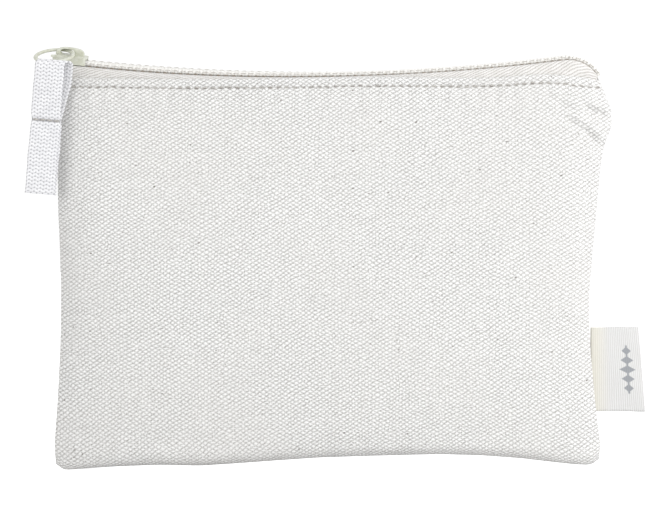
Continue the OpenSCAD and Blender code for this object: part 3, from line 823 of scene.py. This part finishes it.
def paint_material():
    """Cream paint on metal: a slight orange peel, thinner and greener where it has worn."""
    material, tree, shader = new_material("slider paint")
    spot = solid_place(tree)
    patch = ramp(tree, noise(tree, spot, 0.55, 3.0), 0.4, 0.7)
    tree.links.new(mix_colour(tree, patch, tone(216, 218, 205), tone(196, 197, 178)),
                   shader.inputs["Base Color"])
    tree.links.new(ramp(tree, patch, 0.0, 1.0, 0.3, 0.45), shader.inputs["Roughness"])
    shader.inputs["Coat Weight"].default_value = 0.25
    shader.inputs["Coat Roughness"].default_value = 0.2
    use_bump(tree, shader, noise(tree, spot, 2.2, 3.0), 0.05)
    return material


PAINT = paint_material()
nose = SLIDER_W / 2
e = SLIDER_L / 2
flange = [(-e + 0.6, nose - 0.9), (-2, nose - 0.9), (3, 3.35), (e - 0.1, 3.35), (e - 0.1, 3.9),
          (e - 0.7, 4.3), (3, 4.3), (-2, nose), (-e + 1.6, nose), (-e + 0.7, nose - 0.4)]
wedge = [(-6, -0.5), (-4.2, -1), (-1.6, 0), (-4.2, 1), (-6, 0.5)]
lug = [(-0.5, -0.55), (0.5, -0.55), (0.5, 0.55), (-0.5, 0.55)]
solids = [
    slab(plate_outline(4.1, 3.8), LOW_PLATE - PLATE_T - 0.3, LOW_PLATE),
    slab(plate_outline(nose, 4.3), TOP_PLATE, PLATE_TOP, crown=0.25),
    slab([(x, -y) for x, y in flange], FLANGE_FOOT, TOP_PLATE + 0.1),
    slab(flange[::-1], FLANGE_FOOT, TOP_PLATE + 0.1),
    slab(wedge, LOW_PLATE - 0.1, TOP_PLATE + 0.1),
]
solids += [slab([(x + end * 3.65, y) for x, y in lug], PLATE_TOP - 0.1, PLATE_TOP + 0.7)
           for end in (-1, 1)]
slider = round_edges(joined_mesh("slider_casting", solids, PAINT), 0.28)
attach(slider, "slider")
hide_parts("slider_body")

CROWN_L = 10.4
CROWN_H = 2.95
CROWN_W = 2.6
EYE_L = 5.4
EYE_H = 2.25


def arch_curve(middle, length, height, side_power, top_power):
    """Half a rounded oval over the top plate: the cosine and the sine of the turn, each
    raised to a power that fills out its corners."""
    turn = np.linspace(0, np.pi, 41)
    reach = np.sign(np.cos(turn)) * np.abs(np.cos(turn)) ** side_power
    return np.column_stack([middle - length / 2 * reach, 0 * turn,
                            PLATE_TOP - 0.15 + height * np.sin(turn) ** top_power])


outer = arch_curve(0, CROWN_L, CROWN_H, 0.7, 0.62)
inner = arch_curve(-0.9, EYE_L, EYE_H, 0.6, 0.5)
half = np.array([0, CROWN_W / 2, 0])
rings = np.stack([outer - half, outer + half, inner + half, inner - half], axis=1)
crown = tube_mesh("slider_crown_cap", at_slider(rings)[:, ::-1], PAINT)
round_edges(crown, 0.35)
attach(crown, "slider")
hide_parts("slider_crown")

# ---- Ring ----
# A ring of flattened steel wire, painted like the slider, through the eye under the crown.
RING_R = 7.6
RING_X = -6.0
RING_Y = 2.2 - RING_R
RING_UP = PLATE_TOP + 1.35
RING_LEAN = np.radians(11.5)
RING_ROLL = np.radians(7.8)
EYE = np.array([RING_X + np.sqrt(RING_R ** 2 - RING_Y ** 2), 0, 0])


def on_ring(points):
    """Carries points from the ring's own plane to the slider's frame: the ring leans to the
    front and rolls down to the left, about the middle of the eye."""
    lean = np.array([[1, 0, 0], [0, np.cos(RING_LEAN), -np.sin(RING_LEAN)],
                     [0, np.sin(RING_LEAN), np.cos(RING_LEAN)]])
    roll = np.array([[np.cos(RING_ROLL), 0, -np.sin(RING_ROLL)], [0, 1, 0],
                     [np.sin(RING_ROLL), 0, np.cos(RING_ROLL)]])
    return (points - EYE) @ (roll @ lean).T + EYE + np.array([0, 0, RING_UP])


turn = np.linspace(0, 2 * np.pi, 97)[:-1]
path = np.column_stack([(RING_R - 0.8) * np.cos(turn), RING_R * np.sin(turn), 0 * turn])
path = path + np.array([RING_X + 0.8, RING_Y, 0])
radial = np.column_stack([np.cos(turn), np.sin(turn), 0 * turn])
round_wire = 2 * np.pi * np.arange(16) / 16
rings = (path[:, None] + radial[:, None] * 0.78 * np.cos(round_wire)[None, :, None]
         + np.array([0, 0, 1])[None, None] * 0.58 * np.sin(round_wire)[None, :, None])
ring = tube_mesh("pull_ring_wire", at_slider(on_ring(rings))[:, ::-1], PAINT,
                 closed=True)
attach(ring, "ring")
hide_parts("pull_ring")

# ---- Woven pull ----
# A cotton tape folded over the ring and sewn to itself. Below the row of stitches its two
# layers lie flat together.
PULL_W = 10.7
PULL_T = 0.6
PULL_STITCH = 21.6
PULL_L = 48.5
PULL_HANG = np.radians(4.9)
PULL_PIVOT = on_ring(np.array([RING_X + 0.6, RING_Y - RING_R + 1.2, 0]))


def at_pull(points):
    """Carries points from the pull's own frame, x across it, y through it and z up, to
    where it hangs on the ring."""
    pivot = at_slider(PULL_PIVOT[None])[0]
    about_y = np.array([[np.cos(PULL_HANG), 0, np.sin(PULL_HANG)], [0, 1, 0],
                        [-np.sin(PULL_HANG), 0, np.cos(PULL_HANG)]])
    return points @ about_y.T + pivot


def smooth_path(knots, count):
    """A path through the knots, its steps averaged until it has no corners."""
    knots = np.array(knots, float)
    length = np.concatenate([[0], np.cumsum(np.linalg.norm(np.diff(knots, axis=0), axis=1))])
    fine = np.linspace(0, length[-1], 6 * count)
    path = np.column_stack([np.interp(fine, length, knots[:, k]) for k in range(2)])
    for _ in range(60):
        path[1:-1] = (path[:-2] + 2 * path[1:-1] + path[2:]) / 4
    step = np.concatenate([[0], np.cumsum(np.linalg.norm(np.diff(path, axis=0), axis=1))])
    even = np.linspace(0, step[-1], count)
    return np.column_stack([np.interp(even, step, path[:, k]) for k in range(2)]), even


def pull_points():
    """Points of the folded tape's outer side, from the cut end in front, up over the ring
    and down behind. Behind, the tape is a little to the right and comes back at the seam."""
    half = PULL_T / 2 + 0.33
    knots = [(-half, -PULL_L), (-half, -PULL_STITCH - 1), (-1.3, -16.5), (-1.9, -10),
             (-2.35, -4), (-2.4, -1.6), (-2.1, 0.0), (-1.2, 0.75), (0.1, 0.3), (1.0, -1.3),
             (1.4, -5), (1.4, -11), (1.1, -16.5), (half, -PULL_STITCH - 1), (half, -PULL_L)]
    path, length = smooth_path(knots, 150)
    top = length[np.argmax(path[:, 1])]
    down = path[:, 1]
    behind = ease((length - top + 2.5) / 5)
    slip = behind * (0.5 + 2.3 * ease((down + PULL_STITCH) / 18))
    u = np.linspace(-1, 1, 25)
    edge = 0.08 * np.sin(length / 3.1) + 0.05 * np.sin(length / 1.3)
    nip = 0.24 * bump_at(down + PULL_STITCH, 0.9)
    x = u[None, :] * (PULL_W / 2 - nip)[:, None] + (slip + edge)[:, None]
    cup = 0.25 * (1 - u[None, :] ** 2) * ease((down + 18) / 10)[:, None]
    side = np.sign(path[:, :1])
    y = path[:, :1] + side * cup - side * nip[:, None]
    points = np.stack(np.broadcast_arrays(x, y, path[:, 1:]), axis=-1)
    flat = np.stack(np.broadcast_arrays(u[None, :] * PULL_W / 2, length[:, None]), axis=-1)
    return points, flat


def pull_material(seam_v):
    """Herringbone tape: columns of slanting floats whose slant turns from one to the next, with
    painted shade between the floats. The row of stitches crosses it in a groove of painted
    shade, at its height on the flat pattern."""
    material, tree, shader = new_material("woven pull")
    spot = flat_place(tree)
    parts = place(tree, "ShaderNodeSeparateXYZ", {0: spot})
    lane = calc(tree, "DIVIDE", parts.outputs[0], 1.07)
    zigzag = calc(tree, "PINGPONG", lane, 1.0)
    rise = calc(tree, "MULTIPLY_ADD", zigzag, 0.62, parts.outputs[1])
    wander = calc(tree, "MULTIPLY_ADD", noise(tree, spot, 0.8, 2.0), 0.3, rise)
    floats = calc(tree, "MULTIPLY_ADD", calc(tree, "SINE", calc(tree, "MULTIPLY", wander, 4.6)),
                  0.5, 0.5)
    ridge = calc(tree, "MULTIPLY_ADD",
                 calc(tree, "COSINE", calc(tree, "MULTIPLY", lane, 2 * np.pi)), -0.2, 0.2)
    height = calc(tree, "ADD", floats, ridge)
    height = calc(tree, "MULTIPLY_ADD", noise(tree, spot, 3.0, 2.0), 0.4, height)
    gap = ramp(tree, height, 0.8, 0.2)
    cloth = mix_colour(tree, ramp(tree, noise(tree, spot, 0.25, 2.0), 0.3, 0.7),
                       tone(243, 243, 245), tone(232, 232, 235))
    # Painted shade: darker where the weave is low, between the floats.
    cloth = mix_colour(tree, calc(tree, "MULTIPLY", gap, 0.85), cloth, tone(158, 158, 162))
    # Painted shade along the groove of the row of stitches.
    level = calc(tree, "ABSOLUTE", calc(tree, "SUBTRACT", parts.outputs[1], seam_v))
    seam = calc(tree, "MULTIPLY", ramp(tree, level, 0.8, 0.25),
                ramp(tree, noise(tree, spot, 1.6, 2.0), 0.3, 0.6, 0.35, 0.75))
    cloth = mix_colour(tree, seam, cloth, tone(122, 120, 120))
    tree.links.new(cloth, shader.inputs["Base Color"])
    fabric_finish(shader, 0.85, 0.15, 0.3)
    use_bump(tree, shader, height, 0.13)
    return material


points, flat = pull_points()
front_middle = slice(0, 60), 12
PULL_TAPE = pull_material(
    np.interp(-PULL_STITCH, points[front_middle][:, 2], flat[front_middle][:, 1]))
faces = grid_faces(*points.shape[:2])
pull = thicken(build_mesh("woven_pull", at_pull(points), faces, PULL_TAPE, flat), PULL_T)
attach(pull, "pull")
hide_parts("pull_tape")

def both_sides(x, reach, away, start_z, end_z):
    """Starts, ends and outward directions of stitches that show in front and behind, each
    from its reach before x to its reach after it."""
    rows = []
    for side in (FRONT, BACK):
        y = np.full_like(x, side * away)
        rows.append((np.column_stack([x - reach, y, start_z]),
                     np.column_stack([x + reach, y, end_z]),
                     np.tile([0.0, side, 0.0], (len(x), 1))))
    return [np.concatenate(part) for part in zip(*rows)]


x = (np.arange(4) - 1.5) * 2.5 + 0.15
tilt = np.array([0.1, -0.12, 0.08, 0.0])
starts, ends, out = both_sides(x, 0.98, 0.72, -PULL_STITCH + tilt, -PULL_STITCH - tilt)
sewn = stitch_mesh("pull_seam_thread", at_pull(starts), at_pull(ends), out, 0.42, 0.25,
                   GREY_THREAD)
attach(sewn, "pull")
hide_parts("pull_tape_stitch")

# ---- Side label ----
# A ribbed cotton ribbon folded in half, its two ends caught in the right side seam. It has a
# small woven ornament of five lozenges on a stem.
LABEL_H = 31
LABEL_FOOT = 21.5
LABEL_ROOT = 97.2
LABEL_TIP = 115.6
LABEL_T = 0.35


def label_points():
    """Points of the ribbon's outer side: out along the front, round the fold and back."""
    reach = np.linspace(LABEL_ROOT, LABEL_TIP - 0.45, 26)
    turn = np.linspace(-np.pi / 2, np.pi / 2, 9)[1:-1]
    x = np.concatenate([reach, LABEL_TIP - 0.45 + 0.45 * np.cos(turn), reach[::-1]])
    y = np.concatenate([np.full(26, -0.45), 0.45 * np.sin(turn), np.full(26, 0.45)])
    length = np.concatenate([[0], np.cumsum(np.hypot(np.diff(x), np.diff(y)))])
    v = np.linspace(0, 1, 33)[:, None]
    free = ease((x - 99) / 14)[None, :]
    bow = 0.5 * np.sin(v * np.pi * 1.1 + 0.4) * free + 0.12 * np.sin(9 * v + x[None, :] / 3) * free
    lean = (2.4 * (1 - v) - 0.5) * free
    z = LABEL_FOOT + LABEL_H * v + 0.35 * free * (v - 0.5) + 0.1 * np.sin(x[None, :] / 2.7) * free
    points = np.stack(np.broadcast_arrays(x[None, :] + lean, y[None, :] - bow, z), axis=-1)
    flat = np.stack(np.broadcast_arrays(length[None, :], LABEL_H * v), axis=-1)
    return points, flat


def label_material():
    """Ribbed ribbon, off-white with painted shade between its ribs, yellower near the seam, with
    five grey lozenges on a stem.
    """
    material, tree, shader = new_material("label ribbon")
    spot = flat_place(tree)
    parts = place(tree, "ShaderNodeSeparateXYZ", {0: spot})
    along, up = parts.outputs[0], parts.outputs[1]
    wander = calc(tree, "MULTIPLY_ADD", noise(tree, spot, 0.3, 2.0), 0.3, along)
    rib = calc(tree, "MULTIPLY_ADD", calc(tree, "SINE", calc(tree, "MULTIPLY", wander, 9.0)),
               0.5, 0.5)
    tick = calc(tree, "MULTIPLY_ADD", calc(tree, "SINE", calc(tree, "MULTIPLY", up, 14.0)),
                0.15, 0.15)
    height = calc(tree, "ADD", rib, calc(tree, "MULTIPLY_ADD", noise(tree, spot, 3.0, 2.0),
                                         0.4, tick))
    # Painted shade: darker where the ribs are low.
    cloth = mix_colour(tree, ramp(tree, height, 1.1, 0.2), tone(223, 223, 223),
                       tone(200, 199, 196))
    old = calc(tree, "MULTIPLY", ramp(tree, along, 7.0, 2.0), 0.6)
    cloth = mix_colour(tree, old, cloth, tone(228, 224, 208))
    side = calc(tree, "ABSOLUTE", calc(tree, "SUBTRACT", along, 13.0))
    marks = [calc(tree, "MULTIPLY", ramp(tree, side, 0.42, 0.28),
                  ramp(tree, calc(tree, "ABSOLUTE", calc(tree, "SUBTRACT", up, 15.4)), 9.0, 8.6))]
    for level, reach in ((8.6, 1.7), (12.0, 2.3), (15.4, 2.9), (18.8, 2.3), (22.2, 1.7)):
        rise = calc(tree, "ABSOLUTE", calc(tree, "SUBTRACT", up, level))
        spread = calc(tree, "ADD", calc(tree, "DIVIDE", side, reach),
                      calc(tree, "DIVIDE", rise, 1.5))
        marks.append(ramp(tree, spread, 1.1, 0.9))
    mark = marks[0]
    for other in marks[1:]:
        mark = calc(tree, "MAXIMUM", mark, other)
    mark = calc(tree, "MULTIPLY", mark, ramp(tree, height, 0.1, 0.8, 0.75, 1.0))
    cloth = mix_colour(tree, mark, cloth, tone(150, 153, 158))
    tree.links.new(cloth, shader.inputs["Base Color"])
    fabric_finish(shader, 0.8, 0.1, 0.3)
    use_bump(tree, shader, height, 0.06)
    return material


LABEL = label_material()
points, flat = label_points()
faces = grid_faces(*points.shape[:2])
label = thicken(build_mesh("side_label_ribbon", points, faces, LABEL, flat), LABEL_T)
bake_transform(label)
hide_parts("side_label")

# ---- Inside ----
# The bottom seam's stitches and the overlock thread on its raw edges follow the hollow of the
# lower edge. The cords in the coils and the side seams keep their shapes, in cotton thread.
x = np.arange(-84, 84.1, STITCH_PITCH)
reach = 1.1
starts, ends, out = both_sides(x, reach, 0.85, 2.8 + hollow(x - reach), 2.8 + hollow(x + reach))
row = stitch_mesh("bottom_seam_thread", starts, ends, out, THREAD_D, 0.3, THREAD)
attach(row, "root")
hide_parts("bottom_seam_stitch")

x = np.linspace(-84, 84, 113)[:, None]
turn = np.linspace(0, np.pi, 9)
side = np.concatenate([[-1.15], -1.15 * np.cos(turn), [1.15]])[None, :]
rise = np.concatenate([[6.2], 9.3 + 0.5 * np.sin(turn), [6.2]])[None, :]
wrap = side * (1 + 0.06 * np.sin(x * 4.4)), rise + hollow(x)
points = np.stack(np.broadcast_arrays(x, *wrap), axis=-1)
edge = build_mesh("bottom_overlock_thread", points, grid_faces(113, 11), THREAD)
thicken(edge, 0.3)
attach(edge, "root")
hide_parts("bottom_overlock")

CORD = thread_material("filler cord", tone(244, 242, 238), tone(214, 210, 204))
for name in ("front_filler_cord", "back_filler_cord", "left_seam_stitch", "right_seam_stitch",
             "left_overlock", "right_overlock"):
    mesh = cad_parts[name].data
    mesh.materials.clear()
    mesh.materials.append(CORD if "cord" in name else THREAD)

# ---- Room ----
# A plain pale floor, a white room and broad soft lamps, the strongest on the right.
floor_material, tree, shader = new_material("floor")
shader.inputs["Base Color"].default_value = (0.84, 0.84, 0.84, 1)
shader.inputs["Roughness"].default_value = 0.9
shader.inputs["Specular IOR Level"].default_value = 0.0
shader.inputs["Emission Color"].default_value = (1, 1, 1, 1)
seen = place(tree, "ShaderNodeLightPath").outputs["Is Camera Ray"]
tree.links.new(calc(tree, "MULTIPLY", seen, 0.9), shader.inputs["Emission Strength"])
corners = np.array([[-9000, -9000, 0], [9000, -9000, 0], [9000, 9000, 0], [-9000, 9000, 0]], float)
floor = build_mesh("floor", corners, np.array([[0, 1, 2, 3]]), floor_material)

world = bpy.data.worlds.new("studio")
bpy.context.scene.world = world
world.use_nodes = True
world.node_tree.nodes["Background"].inputs[0].default_value = (1, 1, 1, 1)
seen = place(world.node_tree, "ShaderNodeLightPath").outputs["Is Camera Ray"]
world.node_tree.links.new(ramp(world.node_tree, seen, 0.0, 1.0, 0.84, 1.05),
                          world.node_tree.nodes["Background"].inputs[1])
bpy.context.scene.view_settings.view_transform = "Standard"

for name, spot, size, power in (("key", (0.62, -0.5, 0.38), 0.3, 3.1),
                                ("fill", (-0.75, -0.75, 0.12), 0.6, 1.7)):
    lamp = bpy.data.lights.new(name, "AREA")
    lamp.size = size
    lamp.energy = power
    made = bpy.data.objects.new(name, lamp)
    bpy.context.scene.collection.objects.link(made)
    made.location = spot
    made.rotation_euler = (Vector((0, 0, 0.08)) - Vector(spot)).to_track_quat("-Z", "Y").to_euler()
